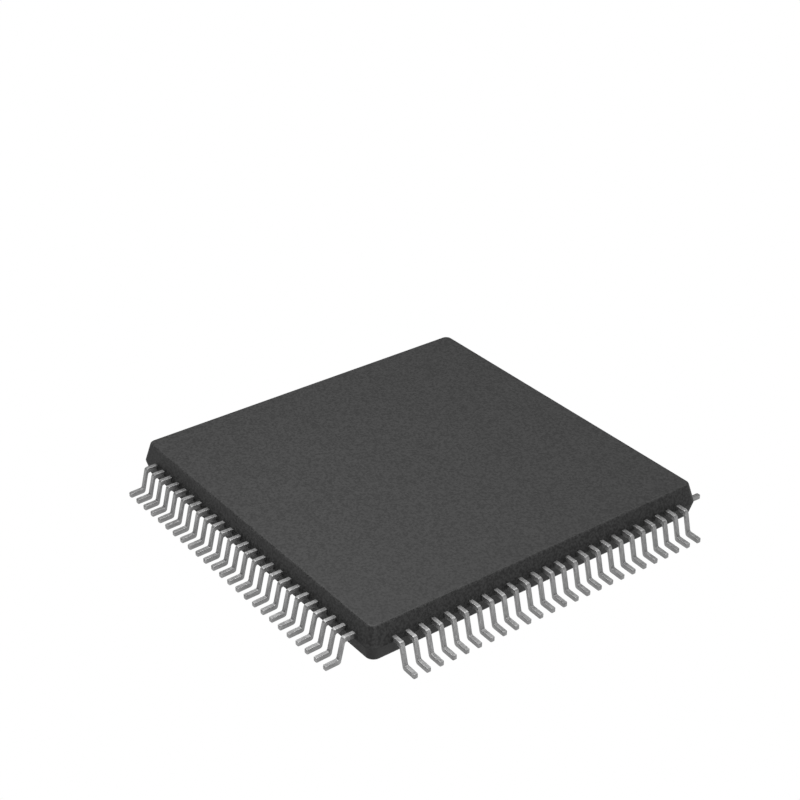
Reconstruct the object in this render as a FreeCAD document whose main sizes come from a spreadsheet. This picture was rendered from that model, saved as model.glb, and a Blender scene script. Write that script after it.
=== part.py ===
import FreeCAD, Part
import math
import os
import Sketcher
from FreeCAD import Placement, Rotation, Vector

# Quad flat pack chip in millimetres. The origin is the centre of the body's outline on the seating
# plane, which the undersides of all feet share. +Z points up through the marked face of the body.
# The right row of leads points to +X, the back row to +Y.

document = FreeCAD.newDocument("QuadFlatPack")

# Driving dimensions
driving_dimensions = {
    # body
    "leads_per_side": 25,
    "corner_margin": 0.92,
    "stand_off": 0.25,
    "lower_height": 0.52,
    "upper_height": 0.71,
    "lower_draft": 13,
    "upper_draft": 15,
    "corner_radius": 0.33,
    "rim_radius": 0.06,
    # leads outside the body
    "lead_pitch": 0.5,
    "lead_width": 0.16,
    "sheet_thickness": 0.185,
    "drop_thickness": 0.105,
    "bend_radius": 0.1,
    "lead_reach": 1.08,
    "foot_length": 0.505,
    "drop_angle": 76,
    # leads inside the body
    "straight_inside": 0.33,
    "tip_gap": 0.4,
    "tip_pitch": 0.29,
    "tip_width": 0.15,
    # die paddle and tie bars
    "paddle_side": 7.5,
    "downset": 0.2,
    "downset_run": 0.3,
    "tie_bar_width": 0.3,
    "tie_bar_cover": 0.1,
    # die
    "attach_thickness": 0.025,
    "attach_margin": 0.15,
    "die_side": 6.0,
    "die_thickness": 0.28,
}

sheet = document.addObject("Spreadsheet::Sheet", "Sizes")
for row, (alias, value) in enumerate(driving_dimensions.items(), start=1):
    sheet.set(f"A{row}", alias)
    sheet.set(f"B{row}", str(value))
    sheet.setAlias(f"B{row}", alias)
document.recompute()

# Lengths and heights that follow from the driving dimensions
body_half = "((Sizes.leads_per_side - 1) * Sizes.lead_pitch / 2 + Sizes.corner_margin)"
toe_reach = f"({body_half} + Sizes.lead_reach)"
parting_height = "(Sizes.stand_off + Sizes.lower_height)"
lead_top = f"({parting_height} + Sizes.sheet_thickness)"
fan_start = f"({body_half} - Sizes.straight_inside)"
paddle_half = "(Sizes.paddle_side / 2)"
tip_reach = f"({paddle_half} + Sizes.tip_gap)"
paddle_top = f"({lead_top} - Sizes.downset)"
die_bottom = f"({paddle_top} + Sizes.attach_thickness)"

# The same lengths as numbers, with which each sketch is drawn before its dimensions hold it
value = driving_dimensions
body_half_drawn = (value["leads_per_side"] - 1) * value["lead_pitch"] / 2 + value["corner_margin"]
toe_drawn = body_half_drawn + value["lead_reach"]
parting_drawn = value["stand_off"] + value["lower_height"]
lead_top_drawn = parting_drawn + value["sheet_thickness"]
fan_start_drawn = body_half_drawn - value["straight_inside"]
tip_drawn = value["paddle_side"] / 2 + value["tip_gap"]

row_angles = {"right": 0, "back": 90, "left": 180, "front": 270}


def new_body(label):
    body = document.addObject("PartDesign::Body", label)
    body.Label = label
    return body


def new_sketch(body, role, name, height=None):
    """A sketch on one of the body's own origin planes, raised by a height where one is given."""
    sketch = body.newObject("Sketcher::SketchObject", name)
    plane = next(item for item in body.Origin.OriginFeatures if item.Role == role)
    sketch.AttachmentSupport = (plane, "")
    sketch.MapMode = "FlatFace"
    if height:
        sketch.setExpression("AttachmentOffset.Base.z", height)
    return sketch


def bind(sketch, kind, places, name, expression, value):
    """A named dimension of a sketch, bound to an expression of the sheet's values."""
    index = sketch.addConstraint(Sketcher.Constraint(kind, *places, value))
    sketch.renameConstraint(index, name)
    sketch.setExpression(f"Constraints.{name}", expression)


def join_ends(sketch, pairs):
    for first, first_end, second, second_end in pairs:
        sketch.addConstraint(Sketcher.Constraint("Coincident", first, first_end, second, second_end))


def draw_polygon(sketch, points):
    """Closed run of lines through the points; line number k starts at point number k."""
    count = len(points)
    for k in range(count):
        start = Vector(*points[k], 0)
        end = Vector(*points[(k + 1) % count], 0)
        sketch.addGeometry(Part.LineSegment(start, end), False)
    join_ends(sketch, [(k, 2, (k + 1) % count, 1) for k in range(count)])


def pad(body, sketch, length, two_sided=False):
    feature = body.newObject("PartDesign::Pad", f"{sketch.Name}_pad")
    feature.Profile = sketch
    feature.setExpression("Length", length)
    if two_sided:
        feature.SideType = "Symmetric"
    sketch.Visibility = False
    return feature


def draw_square(sketch, side, guess):
    """Square centred on the sketch's origin."""
    half = guess / 2
    draw_polygon(sketch, [(-half, -half), (half, -half), (half, half), (-half, half)])
    for line, kind in enumerate(["Horizontal", "Vertical", "Horizontal", "Vertical"]):
        sketch.addConstraint(Sketcher.Constraint(kind, line))
    sketch.addConstraint(Sketcher.Constraint("Symmetric", 0, 1, 2, 1, -1, 1))
    bind(sketch, "DistanceX", (0, 1, 0, 2), "width", side, guess)
    bind(sketch, "DistanceY", (1, 1, 1, 2), "depth", side, guess)


# Gull-wing lead: the side view is drawn on the lead's own XZ plane. Shoulder and foot keep the
# thickness of the sheet and the drop between them is drawn out thinner. Both bends are sharp on the
# inside and rounded on the outside.
def draw_lead_side(sketch):
    gauge = value["sheet_thickness"]
    radius = value["bend_radius"]
    slope = math.radians(value["drop_angle"])
    down = Vector(math.cos(slope), -math.sin(slope), 0)
    across = Vector(math.sin(slope), math.cos(slope), 0) * value["drop_thickness"]
    tangent = radius * math.tan(slope / 2)
    shoulder_level = lead_top_drawn - gauge
    foot_corner = Vector(toe_drawn - value["foot_length"], gauge, 0)
    inside = foot_corner - across
    knee = Vector(foot_corner.x - shoulder_level / math.tan(slope), lead_top_drawn, 0)
    heel = Vector(inside.x + inside.y / math.tan(slope), 0, 0)
    shoulder_corner = Vector(inside.x - (shoulder_level - inside.y) / math.tan(slope), shoulder_level, 0)
    inner_corner = Vector(fan_start_drawn, shoulder_level, 0)
    along = Vector(tangent, 0, 0)
    quarter = math.pi / 2
    normal = Vector(0, 0, 1)

    knee_round = Part.Circle(knee - along - Vector(0, radius, 0), normal, radius)
    heel_round = Part.Circle(heel + along + Vector(0, radius, 0), normal, radius)
    outline = [
        Part.LineSegment(Vector(fan_start_drawn, lead_top_drawn, 0), knee - along),
        Part.ArcOfCircle(knee_round, quarter - slope, quarter),
        Part.LineSegment(knee + down * tangent, foot_corner),
        Part.LineSegment(foot_corner, Vector(toe_drawn, gauge, 0)),
        Part.LineSegment(Vector(toe_drawn, gauge, 0), Vector(toe_drawn, 0, 0)),
        Part.LineSegment(Vector(toe_drawn, 0, 0), heel + along),
        Part.ArcOfCircle(heel_round, 3 * quarter - slope, 3 * quarter),
        Part.LineSegment(heel - down * tangent, shoulder_corner),
        Part.LineSegment(shoulder_corner, inner_corner),
        Part.LineSegment(inner_corner, Vector(fan_start_drawn, lead_top_drawn, 0)),
    ]
    for edge in outline:
        sketch.addGeometry(edge, False)
    (shoulder_top, shoulder_bend, drop_outside, foot_top, toe_end,
     foot_bottom, heel_bend, drop_inside, shoulder_bottom, inner_end) = range(len(outline))

    join_ends(sketch, [
        (drop_outside, 2, foot_top, 1),
        (foot_top, 2, toe_end, 1),
        (toe_end, 2, foot_bottom, 1),
        (drop_inside, 2, shoulder_bottom, 1),
        (shoulder_bottom, 2, inner_end, 1),
        (inner_end, 2, shoulder_top, 1),
    ])
    for first, first_end, second, second_end in [
            (shoulder_top, 2, shoulder_bend, 2),
            (shoulder_bend, 1, drop_outside, 1),
            (foot_bottom, 2, heel_bend, 2),
            (heel_bend, 1, drop_inside, 1)]:
        sketch.addConstraint(
            Sketcher.Constraint("Tangent", first, first_end, second, second_end))
    for line in (shoulder_top, foot_top, foot_bottom, shoulder_bottom):
        sketch.addConstraint(Sketcher.Constraint("Horizontal", line))
    for line in (toe_end, inner_end):
        sketch.addConstraint(Sketcher.Constraint("Vertical", line))
    sketch.addConstraint(Sketcher.Constraint("PointOnObject", foot_bottom, 1, -1))
    sketch.addConstraint(Sketcher.Constraint("Equal", shoulder_bend, heel_bend))
    sketch.addConstraint(Sketcher.Constraint("Parallel", drop_outside, drop_inside))
    bind(sketch, "Radius", (shoulder_bend,), "bend_radius", "Sizes.bend_radius", radius)
    bind(sketch, "Distance", (drop_inside, 1, drop_outside), "drop_thickness",
         "Sizes.drop_thickness", value["drop_thickness"])
    bind(sketch, "DistanceX", (-1, 1, foot_bottom, 1), "toe_reach", toe_reach, toe_drawn)
    bind(sketch, "DistanceX", (foot_top, 1, foot_top, 2), "foot_length",
         "Sizes.foot_length", value["foot_length"])
    bind(sketch, "DistanceY", (toe_end, 2, toe_end, 1), "foot_gauge", "Sizes.sheet_thickness", gauge)
    bind(sketch, "DistanceY", (inner_end, 1, inner_end, 2), "shoulder_gauge",
         "Sizes.sheet_thickness", gauge)
    bind(sketch, "DistanceY", (-1, 1, inner_end, 2), "lead_top", lead_top, lead_top_drawn)
    bind(sketch, "DistanceX", (-1, 1, inner_end, 2), "fan_start", fan_start, fan_start_drawn)
    bind(sketch, "Angle", (drop_outside,), "drop_angle", "-Sizes.drop_angle", -slope)


# Inner lead: flat in the plane of the shoulder, it slants from the wall to its tip by the paddle.
def draw_lead_fan(sketch, tip_shift):
    root_half = value["lead_width"] / 2
    tip_half = value["tip_width"] / 2
    draw_polygon(sketch, [(fan_start_drawn, -root_half), (fan_start_drawn, root_half),
                          (tip_drawn, tip_half), (tip_drawn, -tip_half)])
    sketch.addConstraint(Sketcher.Constraint("Vertical", 2))
    sketch.addConstraint(Sketcher.Constraint("Symmetric", 0, 1, 0, 2, -1))
    bind(sketch, "DistanceX", (-1, 1, 0, 1), "fan_start", fan_start, fan_start_drawn)
    bind(sketch, "DistanceY", (0, 1, 0, 2), "lead_width", "Sizes.lead_width", 2 * root_half)
    bind(sketch, "DistanceX", (-1, 1, 2, 1), "tip_reach", tip_reach, tip_drawn)
    bind(sketch, "DistanceY", (2, 2, 2, 1), "tip_width", "Sizes.tip_width", 2 * tip_half)
    bind(sketch, "DistanceY", (-1, 1, 2, 1), "tip_side",
         f"{tip_shift} + Sizes.tip_width / 2", tip_half)


def place_in_row(number):
    """Places from the middle of the row, as an expression that follows the number of leads."""
    return f"({number} - (Sizes.leads_per_side - 1) / 2)"


def make_lead(number):
    place = place_in_row(number)
    lead = new_body(f"lead_{number + 1:02d}")
    side = new_sketch(lead, "XZ_Plane", f"lead_side_{number + 1:02d}")
    draw_lead_side(side)
    pad(lead, side, "Sizes.lead_width", two_sided=True)
    fan = new_sketch(lead, "XY_Plane", f"lead_fan_{number + 1:02d}", parting_height)
    draw_lead_fan(fan, f"{place} * (Sizes.tip_pitch - Sizes.lead_pitch)")
    pad(lead, fan, "Sizes.sheet_thickness")
    lead.setExpression("Placement.Base.y", f"{place} * Sizes.lead_pitch")
    return lead


def make_lead_row(side, leads):
    """One side's separate leads, turned from the right side to their own."""
    lead_row = document.addObject("Part::Compound", f"leads_{side}")
    lead_row.Label = f"leads_{side}"
    lead_row.Links = leads
    lead_row.Placement = Placement(Vector(), Rotation(Vector(0, 0, 1), row_angles[side]))
    return lead_row


# Die paddle with its four tie bars, which rise to the plane of the leads and end inside the corners
def make_paddle():
    paddle = new_body("die_paddle")
    plate = new_sketch(paddle, "XY_Plane", "paddle_plate", f"{paddle_top} - Sizes.sheet_thickness")
    draw_square(plate, "Sizes.paddle_side", value["paddle_side"])
    pad(paddle, plate, "Sizes.sheet_thickness")

    bar = new_sketch(paddle, "XZ_Plane", "tie_bar_side")
    to_corner = 45
    bar.AttachmentOffset = Placement(Vector(), Rotation(Vector(0, 1, 0), to_corner))
    gauge = value["sheet_thickness"]
    foot = value["paddle_side"] / math.sqrt(2)
    root = foot - value["tie_bar_width"]
    rise_end = foot + value["downset_run"]
    end = body_half_drawn * math.sqrt(2) - value["corner_radius"]
    high = parting_drawn
    low = high - value["downset"]
    draw_polygon(bar, [(root, low), (foot, low), (rise_end, high), (end, high),
                       (end, high + gauge), (rise_end, high + gauge), (foot, low + gauge),
                       (root, low + gauge)])
    for line in (0, 2, 4, 6):
        bar.addConstraint(Sketcher.Constraint("Horizontal", line))
    for line in (3, 7):
        bar.addConstraint(Sketcher.Constraint("Vertical", line))
    plate_corner = f"{paddle_half} * sqrt(2)"
    wall_lean = "Sizes.sheet_thickness * tan(Sizes.upper_draft * 1 deg)"
    bar_end = (f"({body_half} - Sizes.corner_radius) * sqrt(2) + Sizes.corner_radius"
               f" - {wall_lean} - Sizes.tie_bar_cover")
    bind(bar, "DistanceX", (-1, 1, 0, 1), "root", f"{plate_corner} - Sizes.tie_bar_width", root)
    bind(bar, "DistanceX", (-1, 1, 0, 2), "foot", plate_corner, foot)
    bind(bar, "DistanceX", (0, 2, 1, 2), "run", "Sizes.downset_run", rise_end - foot)
    bind(bar, "DistanceX", (6, 1, 5, 1), "run_above", "Sizes.downset_run", rise_end - foot)
    bind(bar, "DistanceX", (-1, 1, 3, 1), "end", bar_end, end)
    bind(bar, "DistanceX", (-1, 1, 6, 1), "foot_above", plate_corner, foot)
    bind(bar, "DistanceY", (-1, 1, 3, 1), "bar_bottom", parting_height, high)
    bind(bar, "DistanceY", (0, 2, 1, 2), "downset", "Sizes.downset", high - low)
    bind(bar, "DistanceY", (3, 1, 3, 2), "gauge", "Sizes.sheet_thickness", gauge)
    bind(bar, "DistanceY", (7, 2, 7, 1), "root_gauge", "Sizes.sheet_thickness", gauge)
    strip = pad(paddle, bar, "Sizes.tie_bar_width", two_sided=True)
    document.recompute()

    corners = paddle.newObject("PartDesign::PolarPattern", "tie_bars")
    corners.Originals = [strip]
    axis = next(item for item in paddle.Origin.OriginFeatures if item.Role == "Z_Axis")
    corners.Axis = (axis, [""])
    corners.Angle = 360
    corners.Occurrences = 4
    paddle.Tip = corners
    return paddle


def make_slab(label, side, thickness, height, guess):
    slab = new_body(label)
    outline = new_sketch(slab, "XY_Plane", f"{label}_outline", height)
    draw_square(outline, side, guess)
    pad(slab, outline, thickness)
    return slab


def name_of_top_face(shape):
    faces = enumerate(shape.Faces, start=1)
    return "Face%d" % max(faces, key=lambda item: item[1].CenterOfMass.z)[0]


# Moulded body: its widest outline is the parting line, and both halves lean inwards from it
def make_moulding():
    moulding = new_body("moulding")
    outline = new_sketch(moulding, "XY_Plane", "parting_outline", parting_height)
    half = body_half_drawn
    radius = value["corner_radius"]
    flat = half - radius
    corners = [(flat, flat), (-flat, flat), (-flat, -flat), (flat, -flat)]
    ends = [((half, -flat), (half, flat)), ((flat, half), (-flat, half)),
            ((-half, flat), (-half, -flat)), ((-flat, -half), (flat, -half))]
    quarter = math.pi / 2
    for k in range(4):
        outline.addGeometry(Part.LineSegment(Vector(*ends[k][0], 0), Vector(*ends[k][1], 0)), False)
        corner = Part.Circle(Vector(*corners[k], 0), Vector(0, 0, 1), radius)
        outline.addGeometry(Part.ArcOfCircle(corner, k * quarter, (k + 1) * quarter), False)
    for k in range(4):
        line, arc, next_line = 2 * k, 2 * k + 1, (2 * k + 2) % 8
        outline.addConstraint(Sketcher.Constraint("Tangent", line, 2, arc, 1))
        outline.addConstraint(Sketcher.Constraint("Tangent", arc, 2, next_line, 1))
        outline.addConstraint(Sketcher.Constraint("Vertical" if k % 2 == 0 else "Horizontal", line))
        if k:
            outline.addConstraint(Sketcher.Constraint("Equal", 1, arc))
    outline.addConstraint(Sketcher.Constraint("Symmetric", 1, 3, 5, 3, -1, 1))
    bind(outline, "Radius", (1,), "corner_radius", "Sizes.corner_radius", radius)
    bind(outline, "DistanceX", (4, 1, 0, 1), "width", f"2 * {body_half}", 2 * half)
    bind(outline, "DistanceY", (6, 1, 2, 1), "depth", f"2 * {body_half}", 2 * half)

    block = pad(moulding, outline, "Sizes.upper_height")
    block.SideType = "Two sides"
    block.setExpression("Length2", "Sizes.lower_height")
    block.setExpression("TaperAngle", "-Sizes.upper_draft")
    block.setExpression("TaperAngle2", "-Sizes.lower_draft")
    document.recompute()

    rounding = moulding.newObject("PartDesign::Fillet", "top_rim")
    rounding.Base = (block, [name_of_top_face(block.Shape)])
    rounding.setExpression("Radius", "Sizes.rim_radius")
    return moulding


def make_mould_body(moulding, inserts):
    """The moulding less everything that it is moulded around."""
    embedded = document.addObject("Part::Compound", "embedded")
    embedded.Links = inserts
    body = document.addObject("Part::Cut", "mould_body")
    body.Label = "mould_body"
    body.Base = moulding
    body.Tool = embedded
    body.Refine = True
    return body


def check_document():
    for item in document.Objects:
        if "Invalid" in item.State or "Error" in item.State:
            raise RuntimeError(f"{item.Label} failed: {item.State}")


def write_parts(parts):
    os.makedirs("parts", exist_ok=True)
    for part in parts:
        if part.Shape.isNull() or not part.Shape.isValid():
            raise RuntimeError(f"{part.Label} has no valid shape")
    for part in parts:
        part.Shape.exportStep(os.path.join("parts", f"{part.Label}.step"))
        print(part.Label, len(part.Shape.Solids), "solids", round(part.Shape.Volume, 4), "mm3")


lead_numbers = range(int(sheet.get("leads_per_side")))
leads = [make_lead(number) for number in lead_numbers]
lead_rows = [make_lead_row(side, leads) for side in row_angles]
paddle = make_paddle()
attach = make_slab("die_attach", "Sizes.die_side + 2 * Sizes.attach_margin",
                   "Sizes.attach_thickness", paddle_top, value["die_side"])
die = make_slab("die", "Sizes.die_side", "Sizes.die_thickness", die_bottom, value["die_side"])
inserts = lead_rows + [paddle, attach, die]
mould_body = make_mould_body(make_moulding(), inserts)
document.recompute()
check_document()
write_parts([mould_body] + inserts)
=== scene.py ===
import math

import bpy
import numpy as np
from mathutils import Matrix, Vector


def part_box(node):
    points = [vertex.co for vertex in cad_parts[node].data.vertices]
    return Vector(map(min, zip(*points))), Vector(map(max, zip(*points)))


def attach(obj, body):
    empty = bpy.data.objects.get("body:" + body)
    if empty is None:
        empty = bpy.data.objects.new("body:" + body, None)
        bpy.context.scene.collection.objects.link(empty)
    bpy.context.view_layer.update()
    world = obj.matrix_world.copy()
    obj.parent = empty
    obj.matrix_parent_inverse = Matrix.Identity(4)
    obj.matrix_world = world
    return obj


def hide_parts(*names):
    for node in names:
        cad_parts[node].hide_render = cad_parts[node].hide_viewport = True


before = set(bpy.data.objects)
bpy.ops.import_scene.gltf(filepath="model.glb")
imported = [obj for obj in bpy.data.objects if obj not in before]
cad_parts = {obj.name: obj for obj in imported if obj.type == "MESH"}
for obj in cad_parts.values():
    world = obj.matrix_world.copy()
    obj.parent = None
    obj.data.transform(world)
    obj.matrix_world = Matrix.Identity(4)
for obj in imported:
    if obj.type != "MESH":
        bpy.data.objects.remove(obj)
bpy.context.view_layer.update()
print("frame loaded")

mm = 0.001
rowAngles = {"Right": 0, "Back": 90, "Left": 180, "Front": 270}  # degrees about +Z from the +X side
leadNodes = {"Right": "leads_right", "Back": "leads_back", "Left": "leads_left", "Front": "leads_front"}


# Mesh helpers

def gridQuads(rows, columns):
    # quads between neighbouring rings: each ring closes on itself, the rings run from first to last
    ring = np.arange(columns)
    after = (ring + 1) % columns
    start = np.arange(rows - 1)[:, None] * columns
    above = start + columns
    return np.stack([start + ring, start + after, above + after, above + ring], axis=-1).reshape(-1, 4)


def loadMesh(name, points, quads, caps, quadNormals, capNormals, quadUv=None):
    # quads is (n, 4) and caps is (m, k): both hold point numbers, with a normal for each of their corners
    corners = np.concatenate([quads.ravel(), caps.ravel()]).astype(np.int32)
    sizes = np.concatenate([np.full(len(quads), 4), np.full(len(caps), caps.shape[1])]).astype(np.int32)
    starts = np.concatenate([[0], np.cumsum(sizes)[:-1]]).astype(np.int32)
    mesh = bpy.data.meshes.new(name)
    mesh.vertices.add(len(points))
    mesh.vertices.foreach_set("co", points.astype(np.float32).ravel())
    mesh.loops.add(len(corners))
    mesh.loops.foreach_set("vertex_index", corners)
    mesh.polygons.add(len(sizes))
    mesh.polygons.foreach_set("loop_start", starts)
    if quadUv is not None:
        layer = mesh.uv_layers.new(name="UVMap")
        uv = np.concatenate([quadUv.reshape(-1, 2), np.zeros((caps.size, 2))])
        layer.data.foreach_set("uv", uv.astype(np.float32).ravel())
    mesh.update(calc_edges=True)
    mesh.validate()
    mesh.shade_smooth()
    normals = np.concatenate([quadNormals.reshape(-1, 3), capNormals.reshape(-1, 3)])
    mesh.normals_split_custom_set(normals / np.linalg.norm(normals, axis=1, keepdims=True))
    piece = bpy.data.objects.new(name, mesh)
    bpy.context.scene.collection.objects.link(piece)
    return piece


def turnAboutZ(points, degrees):
    # turns the last axis of an array of points about the vertical
    cosine, sine = math.cos(math.radians(degrees)), math.sin(math.radians(degrees))
    return points @ np.array([[cosine, sine, 0], [-sine, cosine, 0], [0, 0, 1]])


def dress(piece, material, node=None):
    piece.data.materials.clear()
    piece.data.materials.append(material)
    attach(piece, "root")
    if node:
        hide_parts(node)
    return piece


# Node helpers

noiseSpan = (0.3, 0.7)  # nearly all values of a noise lie between these


def newMaterial(name):
    material = bpy.data.materials.new(name)
    material.use_nodes = True
    tree = material.node_tree
    return material, tree, tree.nodes["Principled BSDF"]


def mappedNoise(tree, source, scale, detail, stretch=(1, 1, 1)):
    # noise read from one output of the texture coordinates, stretched by the Mapping node
    coordinates = tree.nodes.new("ShaderNodeTexCoord")
    mapping = tree.nodes.new("ShaderNodeMapping")
    mapping.inputs["Scale"].default_value = stretch
    noise = tree.nodes.new("ShaderNodeTexNoise")
    noise.inputs["Scale"].default_value = scale
    noise.inputs["Detail"].default_value = detail
    tree.links.new(coordinates.outputs[source], mapping.inputs["Vector"])
    tree.links.new(mapping.outputs["Vector"], noise.inputs["Vector"])
    return noise.outputs["Fac"]


def ramp(tree, factor, stops):
    node = tree.nodes.new("ShaderNodeValToRGB")
    elements = node.color_ramp.elements
    while len(elements) < len(stops):
        elements.new(0.5)
    for element, (place, colour) in zip(elements, stops):
        element.position = place
        element.color = (*colour, 1)
    tree.links.new(factor, node.inputs["Fac"])
    return node.outputs["Color"]


def mapRange(tree, value, low, high, newLow, newHigh):
    node = tree.nodes.new("ShaderNodeMapRange")
    for socket, number in zip(("From Min", "From Max", "To Min", "To Max"), (low, high, newLow, newHigh)):
        node.inputs[socket].default_value = number
    tree.links.new(value, node.inputs["Value"])
    return node.outputs["Result"]


def mixColours(tree, first, second, factor=None):
    # multiplies the two colours, or goes from one to the other by the factor
    node = tree.nodes.new("ShaderNodeMix")
    node.data_type = "RGBA"
    if factor:
        tree.links.new(factor, node.inputs["Factor"])
    else:
        node.blend_type = "MULTIPLY"
        node.inputs["Factor"].default_value = 1
    tree.links.new(first, node.inputs["A"])
    tree.links.new(second, node.inputs["B"])
    return node.outputs["Result"]


def addBump(tree, shader, height, distance):
    bump = tree.nodes.new("ShaderNodeBump")
    bump.inputs["Distance"].default_value = distance
    bump.inputs["Strength"].default_value = 1
    tree.links.new(height, bump.inputs["Height"])
    tree.links.new(bump.outputs["Normal"], shader.inputs["Normal"])


def objectParts(tree, operation=None):
    # x, y and z of the point in the object's own coordinates, or of their absolute values
    coordinates = tree.nodes.new("ShaderNodeTexCoord")
    place = coordinates.outputs["Object"]
    if operation:
        turned = tree.nodes.new("ShaderNodeVectorMath")
        turned.operation = operation
        tree.links.new(place, turned.inputs[0])
        place = turned.outputs["Vector"]
    parts = tree.nodes.new("ShaderNodeSeparateXYZ")
    tree.links.new(place, parts.inputs["Vector"])
    return parts


def joinValues(tree, first, second, operation):
    node = tree.nodes.new("ShaderNodeMath")
    node.operation = operation
    tree.links.new(first, node.inputs[0])
    tree.links.new(second, node.inputs[1])
    return node.outputs["Value"]


def squareReach(tree):
    # max(|x|, |y|): how far out from the middle, in a square
    parts = objectParts(tree, "ABSOLUTE")
    return joinValues(tree, parts.outputs["X"], parts.outputs["Y"], "MAXIMUM")


def grey(level):
    return (level, level, level)


def greyRamp(tree, factor, levels):
    return ramp(tree, factor, [(place, grey(level)) for place, level in levels])


# Moulding compound: matt black epoxy with the fine grain of a spark-eroded mould, and painted shade on its
# walls

compound = {
    "grainScale": 12500,      # per metre
    "grainDetail": 1,
    "mottleScale": 900,
    "mottleDetail": 2,
    "flatGrain": [(0.36, 0.0245), (0.64, 0.043)],   # noise and colour, on the flat faces
    "wallGrain": [(0.36, 0.008), (0.64, 0.060)],
    "grainSwitch": (1, 0.75),   # share of the colour at which the first grain ends and the second is full
    "mottleShades": [(0.3, 0.94), (0.7, 1.0)],
    "specular": 0.45,
    "roughness": (0.5, 0.7),
    "bumpHeight": 0.003 * mm,
    "wallReach": (0.2 * mm, 1.5 * mm),
    # share of that reach and share of the colour: painted shade on the walls, darkest at the leads, and
    # full colour on the flat faces
    "paintedShadeOnWalls": [(0.04, 1.0), (0.12, 0.3), (0.48, 0.3), (0.62, 0.62), (0.92, 0.62), (0.98, 1.0)],
    "cornerReach": (6.0 * mm, 6.5 * mm),   # min(|x|, |y|), from the last lead to the corner
    # painted shade on the walls at the corners, where there are no leads, darker below the parting line
    "paintedShadeAtCorners": [(0.04, 1.0), (0.12, 0.32), (0.42, 0.32), (0.47, 0.62), (0.92, 0.62), (0.98, 1.0)],
}


def makeCompound():
    material, tree, shader = newMaterial("mouldCompound")
    grain = mappedNoise(tree, "Object", compound["grainScale"], compound["grainDetail"])
    mottle = mappedNoise(tree, "Object", compound["mottleScale"], compound["mottleDetail"])
    mottleColour = greyRamp(tree, mottle, compound["mottleShades"])
    parts = objectParts(tree, "ABSOLUTE")
    height = mapRange(tree, parts.outputs["Z"], *compound["wallReach"], 0, 1)
    nearer = joinValues(tree, parts.outputs["X"], parts.outputs["Y"], "MINIMUM")
    inCorner = mapRange(tree, nearer, *compound["cornerReach"], 0, 1)
    # painted shade on the walls, going from the one along the leads to the one at the corners
    paintedShade = mixColours(tree, greyRamp(tree, height, compound["paintedShadeOnWalls"]),
                            greyRamp(tree, height, compound["paintedShadeAtCorners"]), inCorner)
    onWall = mapRange(tree, paintedShade, *compound["grainSwitch"], 0, 1)
    grainColour = mixColours(tree, greyRamp(tree, grain, compound["flatGrain"]),
                             greyRamp(tree, grain, compound["wallGrain"]), onWall)
    grained = mixColours(tree, grainColour, mottleColour)
    tree.links.new(mixColours(tree, grained, paintedShade), shader.inputs["Base Color"])
    tree.links.new(mapRange(tree, grain, *noiseSpan, *compound["roughness"]), shader.inputs["Roughness"])
    shader.inputs["Specular IOR Level"].default_value = compound["specular"]
    addBump(tree, shader, grain, compound["bumpHeight"])
    return material


# Tin plating: satin grey, with fine streaks along the strip and a slight mottle, and painted shade and
# highlight along the lead

tin = {
    "streakScale": 22,        # per millimetre of the UV map, across the strip
    "streakLength": 0.12,     # share of that scale along the strip
    "streakDetail": 2,
    "mottleScale": 9000,      # per metre
    "mottleDetail": 3,
    "streakShades": [(0.3, 0.42), (0.7, 0.58)],
    "mottleShades": [(0.35, 0.8), (0.65, 1.0)],
    "roughness": (0.45, 0.60),
    "bumpHeight": 0.003 * mm,
    "reach": (6.8 * mm, 8 * mm),
    # share of that reach and share of the colour: painted shade where the lead leaves the moulding and on
    # the foot, painted highlight at the bend
    "paintedShadeAndHighlight": [(0.07, 0.57), (0.26, 0.82), (0.33, 0.86), (0.38, 1.0), (0.43, 1.0), (0.5, 0.9), (0.57, 0.88),
               (0.64, 0.77), (0.92, 0.77), (0.98, 0.84)],
}


def makeTin():
    material, tree, shader = newMaterial("tinPlating")
    streak = mappedNoise(tree, "UV", tin["streakScale"], tin["streakDetail"], (1, tin["streakLength"], 1))
    mottle = mappedNoise(tree, "Object", tin["mottleScale"], tin["mottleDetail"])
    streakColour = greyRamp(tree, streak, tin["streakShades"])
    mottleColour = greyRamp(tree, mottle, tin["mottleShades"])
    reach = mapRange(tree, squareReach(tree), *tin["reach"], 0, 1)
    # painted shade near the moulding and on the foot, painted highlight at the bend
    paintedLightColour = greyRamp(tree, reach, tin["paintedShadeAndHighlight"])
    plated = mixColours(tree, streakColour, mottleColour)
    tree.links.new(mixColours(tree, plated, paintedLightColour), shader.inputs["Base Color"])
    tree.links.new(mapRange(tree, mottle, *noiseSpan, *tin["roughness"]), shader.inputs["Roughness"])
    shader.inputs["Metallic"].default_value = 1
    addBump(tree, shader, streak, tin["bumpHeight"])
    return material


# Materials of the pieces that are sealed inside

sealedNodes = ("die_paddle", "die_attach", "die")
sealedDetail = 3
sealed = {
    "die_paddle": {"scale": 4000, "dark": (0.50, 0.24, 0.13), "light": (0.66, 0.36, 0.22),
                   "metallic": 1.0, "roughness": 0.35, "bumpHeight": 0.002 * mm},
    "die_attach": {"scale": 9000, "dark": (0.42, 0.42, 0.40), "light": (0.58, 0.58, 0.56),
                   "metallic": 0.5, "roughness": 0.55, "bumpHeight": 0.004 * mm},
    "die": {"scale": 2500, "dark": (0.09, 0.10, 0.14), "light": (0.14, 0.15, 0.19),
            "metallic": 0.6, "roughness": 0.12, "bumpHeight": 0.0005 * mm},
    "bondWires": {"scale": 30000, "dark": (0.80, 0.55, 0.20), "light": (0.93, 0.68, 0.30),
                  "metallic": 1.0, "roughness": 0.2, "bumpHeight": 0.0003 * mm},
}


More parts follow.
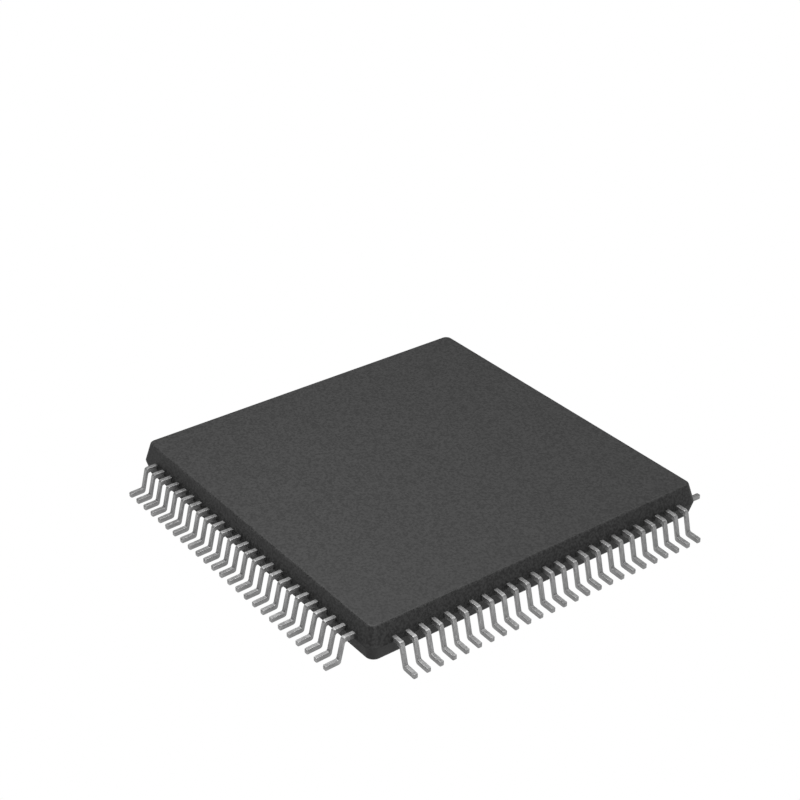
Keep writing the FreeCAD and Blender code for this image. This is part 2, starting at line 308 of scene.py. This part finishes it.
def makeSealed(name):
    look = sealed[name]
    material, tree, shader = newMaterial(name + "Finish")
    noise = mappedNoise(tree, "Object", look["scale"], sealedDetail)
    colour = ramp(tree, noise, list(zip(noiseSpan, (look["dark"], look["light"]))))
    tree.links.new(colour, shader.inputs["Base Color"])
    shader.inputs["Metallic"].default_value = look["metallic"]
    shader.inputs["Roughness"].default_value = look["roughness"]
    addBump(tree, shader, noise, look["bumpHeight"])
    return material


# Moulded body

mould = {
    "upperDraft": math.radians(15),
    "lowerDraft": math.radians(13),
    "partingHeight": 0.77 * mm,
    "partingLand": 0.012 * mm,
    "topCorner": 0.22 * mm,
    "partingCorner": 0.31 * mm,
    "bottomCorner": 0.29 * mm,
    "topRim": 0.07 * mm,
    "bottomRim": 0.04 * mm,
    "cornerSteps": 14,
    "rimSteps": 6,
}


def makeMouldSkin(material):
    # The outline at height z is a rounded square: place = (half - inset - radius) * corner + radius
    # * normal, where corner is one of (+-1, +-1) and the normal turns by a quarter round it. The side view
    # gives the inset and height of each ring, from the underside, round the rims and over the parting line.
    low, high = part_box("mould_body")
    steps = mould["cornerSteps"]
    quarters = np.arange(4)
    turn = np.linspace(0, math.pi / 2, steps)
    angles = (quarters[:, None] * math.pi / 2 + turn).ravel()
    normal = np.stack([np.cos(angles), np.sin(angles)], axis=-1)
    diagonal = np.repeat(quarters * math.pi / 2 + math.pi / 4, steps)
    corner = math.sqrt(2) * np.stack([np.cos(diagonal), np.sin(diagonal)], axis=-1)

    parting, land = mould["partingHeight"], mould["partingLand"] / 2
    lowerDraft, upperDraft = mould["lowerDraft"], mould["upperDraft"]
    bottomRim, topRim = mould["bottomRim"], mould["topRim"]
    bottomTurn = np.linspace(-math.pi / 2, -lowerDraft, mould["rimSteps"])
    topTurn = np.linspace(upperDraft, math.pi / 2, mould["rimSteps"])
    lowerWall, upperWall = parting - land - low.z - bottomRim, high.z - topRim - parting - land
    bottomCentre = lowerWall * math.tan(lowerDraft) + bottomRim / math.cos(lowerDraft)
    topCentre = upperWall * math.tan(upperDraft) + topRim / math.cos(upperDraft)
    inset = np.concatenate([bottomCentre - bottomRim * np.cos(bottomTurn), [0, 0],
                            topCentre - topRim * np.cos(topTurn)])
    height = np.concatenate([low.z + bottomRim + bottomRim * np.sin(bottomTurn),
                             [parting - land, parting + land], high.z - topRim + topRim * np.sin(topTurn)])
    radius = np.interp(height, [low.z, parting, high.z],
                       [mould["bottomCorner"], mould["partingCorner"], mould["topCorner"]])
    # lean of the surface at the lower and the upper end of each band between two rings
    leanBelow = np.concatenate([bottomTurn[:-1], [-lowerDraft, 0, upperDraft], topTurn[:-1]])
    leanAbove = np.concatenate([bottomTurn[1:], [-lowerDraft, 0, upperDraft], topTurn[1:]])

    rings, around = len(height), len(angles)
    points = np.empty((rings, around, 3))
    points[..., :2] = (high.x - inset - radius)[:, None, None] * corner + radius[:, None, None] * normal
    points[..., 2] = height[:, None]
    quads = gridQuads(rings, around)

    here = np.arange(around)
    after = (here + 1) % around

    def bandNormals(lean, columns):
        flat = np.cos(lean)[:, None, None] * normal[columns]
        upright = np.broadcast_to(np.sin(lean)[:, None, None], flat.shape[:2] + (1,))
        return np.concatenate([flat, upright], axis=-1)

    quadNormals = np.stack([bandNormals(leanBelow, here), bandNormals(leanBelow, after),
                            bandNormals(leanAbove, after), bandNormals(leanAbove, here)], axis=2)
    caps = np.stack([here[::-1], (rings - 1) * around + here])
    capNormals = np.stack([np.tile([0, 0, -1.0], (around, 1)), np.tile([0, 0, 1.0], (around, 1))])
    skin = loadMesh("mouldSkin", points.reshape(-1, 3), quads, caps, quadNormals, capNormals)
    return dress(skin, material, "mould_body")


# Gull-wing leads

lead = {
    "count": 25,
    "pitch": 0.5 * mm,
    "width": 0.16 * mm,
    "gauge": 0.185 * mm,
    "dropGauge": 0.105 * mm,
    "footGauge": 0.18 * mm,
    "footLength": 0.505 * mm,
    "heelLift": 0.02 * mm,
    "dropAngle": math.radians(76),
    "outsideRadius": 0.1 * mm,
    "insideRadius": 0.06 * mm,
    "edgeRadius": 0.017 * mm,
    "toeRound": 0.04 * mm,
    "toeShares": (0, 0.3, 1),    # how much of that the last three rings are drawn in
    "toeFacing": 0.7,            # share of the normal that faces the toe on the last two
    "straightInside": 0.33 * mm,
    "tipPitch": 0.29 * mm,
    "tipWidth": 0.15 * mm,
    "bendSteps": 6,
    # UV map in millimetres: from corner to corner of a ring, and between two leads, across and along
    "uvRound": 0.08,
    "uvShift": (3.7, 1.9),
}


def bendArc(cornerPoint, radius, angles, side):
    # Round of a corner where the strip's slope goes through the angles: with n = (sin a, cos a), the upward
    # normal at slope a, the place is K - side * R * ((n0 + n1) / (1 + n0.n1) - n(a)).
    normals = np.stack([np.sin(angles), np.cos(angles)], axis=-1)
    first, last = normals[0], normals[-1]
    return np.array(cornerPoint) - side * radius * ((first + last) / (1 + first @ last) - normals)


def makeLeadRow(name, node, degrees, material):
    # The side view has an upper and a lower line with a station on each for every ring: level from the tip,
    # round the shoulder, down the drop, round the heel and gently down to the toe, which meets the board.
    # Each ring is a rectangle with bevelled edges between the two stations, as wide as the strip, and is
    # drawn in at the toe.
    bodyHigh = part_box("mould_body")[1]
    rowLow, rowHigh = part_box("leads_right")
    gauge, footGauge, drop, width = lead["gauge"], lead["footGauge"], lead["dropAngle"], lead["width"]
    top, toe = rowHigh.z, rowHigh.x
    lift = lead["heelLift"]
    sole = math.atan(lift / lead["footLength"])
    fall = np.linspace(0, drop, lead["bendSteps"])
    rise = np.linspace(drop, sole, lead["bendSteps"])
    slope = math.tan(drop)

    foot = (toe - lead["footLength"], footGauge + lift)
    knee = (foot[0] - (top - foot[1]) / slope, top)
    sideways = lead["dropGauge"] / math.sin(drop)
    innerKnee = (knee[0] + gauge / slope - sideways, top - gauge)
    heel = (foot[0] + footGauge / slope - sideways, lift)
    outside, inside = lead["outsideRadius"], lead["insideRadius"]
    tip, fan = rowLow.x, bodyHigh.x - lead["straightInside"]
    drawnIn = lead["toeRound"] * np.array(lead["toeShares"])
    ends = toe - drawnIn[::-1]
    under = (toe - ends) * math.tan(sole)
    upper = np.concatenate([[(tip, top), (fan, top)], bendArc(knee, outside, fall, 1),
                            bendArc(foot, inside, rise, -1), np.stack([ends, footGauge + under], axis=-1)])
    lower = np.concatenate([[(tip, top - gauge), (fan, top - gauge)], bendArc(innerKnee, inside, fall, 1),
                            bendArc(heel, outside, rise, -1), np.stack([ends, under], axis=-1)])
    tilt = np.concatenate([[0, 0], fall, rise, np.full(len(drawnIn), sole)])
    stations = len(tilt)
    inset = np.zeros(stations)
    inset[-len(drawnIn):] = drawnIn
    forward = np.zeros(stations)
    forward[-2:] = lead["toeFacing"]
    halfWidth = np.full(stations, width / 2)
    halfWidth[0] = lead["tipWidth"] / 2

    # ring of eight points: across the strip, and how far they lie below the upper line or above the lower
    edge = lead["edgeRadius"]
    across = np.array([1, 1, 1, -1, -1, -1, -1, 1])
    fromSide = edge * np.array([0, 0, 1, 1, 0, 0, 1, 1])
    fromFace = edge * np.array([1, 1, 0, 0, 1, 1, 0, 0])
    onUpper = np.array([False, True, True, True, True, False, False, False])
    sideNormal = np.array([1, 1, 0, 0, -1, -1, 0, 0.0])
    upNormal = np.array([0, 0, 1, 1, 0, 0, -1, -1.0])
    through = (upper - lower) / np.linalg.norm(upper - lower, axis=-1, keepdims=True)
    depth = (fromFace + inset[:, None])[..., None] * through[:, None, :]
    section = np.where(onUpper[:, None], upper[:, None, :] - depth, lower[:, None, :] + depth)

    places = np.arange(lead["count"]) - (lead["count"] - 1) / 2
    centreY = places[:, None] * np.full(stations, lead["pitch"])
    centreY[:, 0] = places * lead["tipPitch"]
    shape = (lead["count"], stations, len(across))
    points = np.empty(shape + (3,))
    points[..., 0] = section[..., 0]
    points[..., 1] = centreY[:, :, None] + across * (halfWidth[:, None] - inset[:, None] - fromSide)
    points[..., 2] = section[..., 1]
    normals = np.empty(shape + (3,))
    normals[..., 0] = upNormal * np.sin(tilt)[:, None] + forward[:, None]
    normals[..., 1] = sideNormal
    normals[..., 2] = upNormal * np.cos(tilt)[:, None]

    # UV map: round the section and along the strip, shifted for each lead
    lineStep = np.linalg.norm(np.diff((upper + lower) / 2, axis=0), axis=-1)
    alongStrip = np.concatenate([[0], np.cumsum(lineStep)]) / mm
    shiftRound, shiftAlong = lead["uvShift"]
    uv = np.empty(shape + (2,))
    uv[..., 0] = np.arange(len(across)) * lead["uvRound"] + places[:, None, None] * shiftRound
    uv[..., 1] = alongStrip[:, None] + places[:, None, None] * shiftAlong

    rings, around = shape[1], shape[2]
    one = gridQuads(rings, around)
    first = np.arange(lead["count"])[:, None] * rings * around
    quads = (first[:, :, None] + one).reshape(-1, 4)
    flatPoints = turnAboutZ(points, degrees).reshape(-1, 3)
    flatNormals = turnAboutZ(normals, degrees).reshape(-1, 3)
    here = np.arange(around)
    caps = np.stack([first + here[::-1], first + (rings - 1) * around + here], axis=1).reshape(-1, around)
    outward = turnAboutZ(np.array([[-1.0, 0, 0], [1, 0, 0]]), degrees)
    capNormals = np.broadcast_to(outward[None, :, None, :], (lead["count"], 2, around, 3))
    quadUv = uv.reshape(-1, 2)[quads]
    row = loadMesh(name, flatPoints, quads, caps, flatNormals[quads], capNormals, quadUv)
    return dress(row, material, node)


# Bond wires, sealed inside: from pads along the die's edges to the tips of the leads

wire = {
    "padInset": 0.1 * mm,      # from the die's edge
    "padPitch": 0.22 * mm,
    "stitchInset": 0.12 * mm,  # from the lead's tip
    "sides": 6,
    # share of the span, then height over the line between the ends, half width and half thickness in mm
    "path": [(0, 0, 0.03, 0.03), (0, 0.016, 0.03, 0.03), (0, 0.024, 0.0125, 0.0125),
             (0, 0.11, 0.0125, 0.0125), (0.06, 0.15, 0.0125, 0.0125), (0.16, 0.155, 0.0125, 0.0125),
             (0.5, 0.1, 0.0125, 0.0125), (0.92, 0.02, 0.0125, 0.0125), (1, 0.006, 0.022, 0.005)],
}


def makeBondWires(name, degrees, material):
    # An ellipse carried along a path, place = P + w * cos a * across + h * sin a * over: P runs from the
    # pad to the stitch on the lead and is lifted in between, and w and h are widest at the ball on the pad.
    share, lift, halfWidth, halfThickness = np.array(wire["path"]).T
    lift, halfWidth, halfThickness = lift * mm, halfWidth * mm, halfThickness * mm
    dieHigh, rowLow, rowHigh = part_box("die")[1], *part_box("leads_right")
    places = np.arange(lead["count"]) - (lead["count"] - 1) / 2
    sideways = places[:, None] * np.array([0, 1, 0])
    pad = np.array([dieHigh.x - wire["padInset"], 0, dieHigh.z]) + sideways * wire["padPitch"]
    stitch = np.array([rowLow.x + wire["stitchInset"], 0, rowHigh.z]) + sideways * lead["tipPitch"]
    path = pad[:, None] + share[:, None] * (stitch - pad)[:, None]
    path[..., 2] += lift
    along = np.gradient(path, axis=1)
    along /= np.linalg.norm(along, axis=-1, keepdims=True)
    across = np.cross([0, 0, 1], stitch - pad)
    across = np.broadcast_to((across / np.linalg.norm(across, axis=-1, keepdims=True))[:, None], path.shape)
    over = np.cross(along, across)

    sides = wire["sides"]
    turn = np.arange(sides) * 2 * math.pi / sides
    cosine, sine = np.cos(turn)[:, None], np.sin(turn)[:, None]
    points = (path[:, :, None] + halfWidth[:, None, None] * cosine * across[:, :, None]
              + halfThickness[:, None, None] * sine * over[:, :, None])
    normals = cosine * across[:, :, None] + sine * over[:, :, None]
    rings = len(share)
    first = np.arange(lead["count"])[:, None] * rings * sides
    quads = (first[:, :, None] + gridQuads(rings, sides)).reshape(-1, 4)
    flatPoints = turnAboutZ(points, degrees).reshape(-1, 3)
    flatNormals = turnAboutZ(normals, degrees).reshape(-1, 3)
    here = np.arange(sides)
    caps = np.stack([first + here[::-1], first + (rings - 1) * sides + here], axis=1).reshape(-1, sides)
    ends = turnAboutZ(np.stack([-along[:, 0], along[:, -1]], axis=1), degrees)
    capNormals = np.broadcast_to(ends[:, :, None], (lead["count"], 2, sides, 3))
    wires = loadMesh(name, flatPoints, quads, caps, flatNormals[quads], capNormals)
    return dress(wires, material)


# Floor, light and camera

stage = {
    "floorSize": 2.0,
    "floorWhite": 1.0,
    "bounceHeight": -0.02 * mm,
    "bounceReach": (6.9 * mm, 8.2 * mm),
    "bounceSwitch": 0.3 * mm,
    "glowUnder": (0.52, 0.78),   # along the front and back, and along the left and right
    "glowAround": (0.90, 0.74),
    "sky": [(0.5, 0.1), (0.8, 0.15), (0.88, 0.8), (0.95, 0.6), (1.0, 0.2)],  # (1 + height) / 2 and radiance
    "lamps": {
        # place in mm, size in mm, radiance
        "overhead": ((-10, 5, 90), 60, 4.6),
        "closeAbove": ((0, -9, 20), 10, 6.8),
        "rightCard": ((80, -10, 10), 40, 4.6),
    },
}


def makeSheet(name, height):
    side = stage["floorSize"]
    mesh = bpy.data.meshes.new(name)
    corner = np.array([[-1, -1], [1, -1], [1, 1], [-1, 1]]) * side / 2
    mesh.from_pydata(np.column_stack([corner, np.full(4, height)]).tolist(), [], [(0, 1, 2, 3)])
    sheet = bpy.data.objects.new(name, mesh)
    bpy.context.scene.collection.objects.link(sheet)
    material = bpy.data.materials.new(name + "Glow")
    material.use_nodes = True
    tree = material.node_tree
    tree.nodes.remove(tree.nodes["Principled BSDF"])
    glow = tree.nodes.new("ShaderNodeEmission")
    tree.links.new(glow.outputs["Emission"], tree.nodes["Material Output"].inputs["Surface"])
    mesh.materials.append(material)
    return sheet, tree, glow


def makeFloor():
    # The white floor is seen by the camera alone. The one just below it lights the chip: its glow goes by
    # max(|x|, |y|), from the wall to just past the toes, and changes at the diagonals by |x| - |y|.
    floor, _, glow = makeSheet("floor", 0)
    glow.inputs["Strength"].default_value = stage["floorWhite"]
    floor.visible_diffuse = False
    floor.visible_glossy = False

    bounce, tree, glow = makeSheet("bounceFloor", stage["bounceHeight"])
    bounce.visible_camera = False
    parts = objectParts(tree, "ABSOLUTE")
    sideways = joinValues(tree, parts.outputs["X"], parts.outputs["Y"], "SUBTRACT")
    reach = mapRange(tree, squareReach(tree), *stage["bounceReach"], 0, 1)
    blend = tree.nodes.new("ShaderNodeMix")
    far = stage["bounceSwitch"]
    tree.links.new(reach, blend.inputs["Factor"])
    tree.links.new(mapRange(tree, sideways, -far, far, *stage["glowUnder"]), blend.inputs["A"])
    tree.links.new(mapRange(tree, sideways, -far, far, *stage["glowAround"]), blend.inputs["B"])
    tree.links.new(blend.outputs["Result"], glow.inputs["Strength"])


def makeSky():
    world = bpy.data.worlds.new("studio")
    bpy.context.scene.world = world
    world.use_nodes = True
    tree = world.node_tree
    coordinates = tree.nodes.new("ShaderNodeTexCoord")
    parts = tree.nodes.new("ShaderNodeSeparateXYZ")
    tree.links.new(coordinates.outputs["Generated"], parts.inputs["Vector"])
    height = mapRange(tree, parts.outputs["Z"], -1, 1, 0, 1)
    colour = greyRamp(tree, height, stage["sky"])
    tree.links.new(colour, tree.nodes["Background"].inputs["Color"])


def makeLights():
    for name, (place, size, radiance) in stage["lamps"].items():
        light = bpy.data.lights.new(name, "AREA")
        light.shape = "DISK"
        light.size = size * mm
        area = math.pi * (light.size / 2) ** 2
        light.energy = radiance * math.pi * area
        lamp = bpy.data.objects.new(name, light)
        lamp.location = Vector(place) * mm
        lamp.visible_camera = False
        lamp.rotation_euler = (-lamp.location).to_track_quat("-Z", "Y").to_euler()
        bpy.context.scene.collection.objects.link(lamp)


eye = {
    "azimuth": math.radians(52.65),
    "elevation": math.radians(33.14),
    "distance": 61.09 * mm,
    "aim": Vector((-5.82, 3.72, 0)) * mm,   # point of the floor in the middle of the picture
    "lens": 78.0,
    "sensorWidth": 36,
    "clip": (0.001, 10),
}


def makeCamera():
    data = bpy.data.cameras.new("camera")
    data.lens = eye["lens"]
    data.sensor_width = eye["sensorWidth"]
    data.clip_start, data.clip_end = eye["clip"]
    camera = bpy.data.objects.new("camera", data)
    level = math.cos(eye["elevation"])
    camera.location = eye["distance"] * Vector((
        math.sin(eye["azimuth"]) * level, -math.cos(eye["azimuth"]) * level, math.sin(eye["elevation"])))
    camera.rotation_euler = (eye["aim"] - camera.location).to_track_quat("-Z", "Y").to_euler()
    bpy.context.scene.collection.objects.link(camera)
    bpy.context.scene.camera = camera
    bpy.context.scene.view_settings.view_transform = "Standard"


makeFloor()
makeSky()
makeLights()
makeCamera()
print("stage, light and camera made")

makeMouldSkin(makeCompound())
print("moulded body made")

tinPlating = makeTin()
for side, angle in rowAngles.items():
    makeLeadRow("leadStrips" + side, leadNodes[side], angle, tinPlating)
print("leads made")

bondGold = makeSealed("bondWires")
for side, angle in rowAngles.items():
    makeBondWires("bondWires" + side, angle, bondGold)
for node in sealedNodes:
    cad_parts[node].data.materials.clear()
    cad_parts[node].data.materials.append(makeSealed(node))
print("sealed pieces made and finished")
